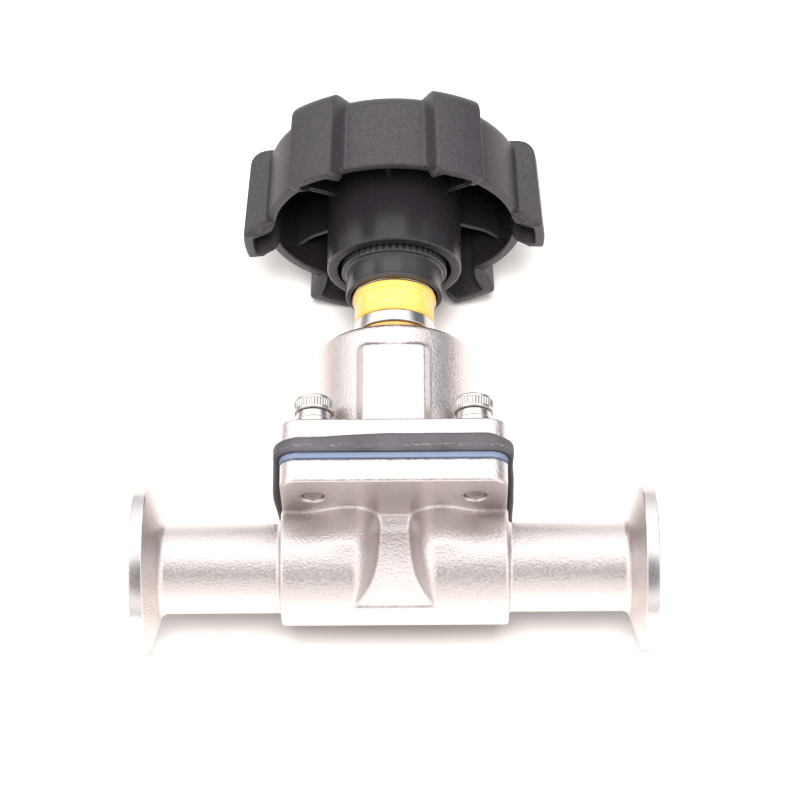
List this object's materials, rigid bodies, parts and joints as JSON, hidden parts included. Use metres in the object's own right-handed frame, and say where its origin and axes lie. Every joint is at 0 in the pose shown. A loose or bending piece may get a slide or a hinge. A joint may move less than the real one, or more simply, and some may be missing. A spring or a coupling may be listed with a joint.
{
  "type": "diaphragm valve",
  "caption": "Weir-type hygienic diaphragm valve: cast body with clamp ferrule ends, square bonnet clamped by cap screws, yellow position ring and a rising lobed handwheel.",
  "frame": {"origin": "where the pipe axis crosses the stem axis", "axes": "+X along the pipe, +Z along the stem from the body up to the handwheel, -Y towards the viewer of the valve's front"},
  "size_m": [0.158, 0.0934, 0.1703],
  "materials": {
    "cast_steel": "shot-blasted cast stainless steel, satin",
    "turned_steel": "turned stainless steel, bright",
    "screw_steel": "bright stainless fasteners",
    "bronze": "turned bronze",
    "ptfe": "bluish PTFE sheet",
    "epdm": "matte black EPDM rubber",
    "indicator_yellow": "glossy yellow plastic",
    "wheel_plastic": "fine-grained black glass-filled nylon",
    "sleeve_plastic": "smooth satin black plastic"
  },
  "bodies": {
    "valve": {"valve_body": "cast_steel", "bonnet": "cast_steel", "diaphragm_face": "ptfe", "diaphragm_backing": "epdm", "neck_collar": "turned_steel", "neck_spacer_ring": "bronze", "spindle_o_ring_lower": "epdm", "spindle_o_ring_upper": "epdm", "neck_o_ring": "epdm", "thread_bush": "bronze", "indicator_ring": "indicator_yellow", "indicator_retainer": "turned_steel", "bonnet_screw_1": "screw_steel", "bonnet_screw_2": "screw_steel", "bonnet_screw_3": "screw_steel", "bonnet_screw_4": "screw_steel", "spring_washer_1": "screw_steel", "spring_washer_2": "screw_steel", "spring_washer_3": "screw_steel", "spring_washer_4": "screw_steel", "flat_washer_1": "screw_steel", "flat_washer_2": "screw_steel", "flat_washer_3": "screw_steel", "flat_washer_4": "screw_steel"},
    "compressor": {"compressor": "cast_steel", "spindle_pin_1": "turned_steel", "spindle_pin_2": "turned_steel", "thrust_washer": "bronze", "diaphragm_stud": "turned_steel"},
    "handwheel": {"spindle": "turned_steel", "handwheel": "wheel_plastic", "travel_stop_sleeve": "sleeve_plastic", "handwheel_washer": "screw_steel", "handwheel_nut": "screw_steel", "handwheel_cap": "wheel_plastic"}
  },
  "joints": [
    {"name": "spindle_travel", "type": "slide", "parent": "valve", "child": "compressor", "axis": [0, 0, 1], "range_m": [-0.009, 0], "deforming": ["diaphragm_face", "diaphragm_backing"]},
    {"name": "handwheel_turn", "type": "hinge", "parent": "compressor", "child": "handwheel", "pos_m": [0, 0, 0.1], "axis": [0, 0, 1], "range_deg": [-1080, 0]}
  ],
  "couplings": [
    {"joint": "spindle_travel", "follows": "handwheel_turn", "m_per_rad": 0.00047746}
  ]
}
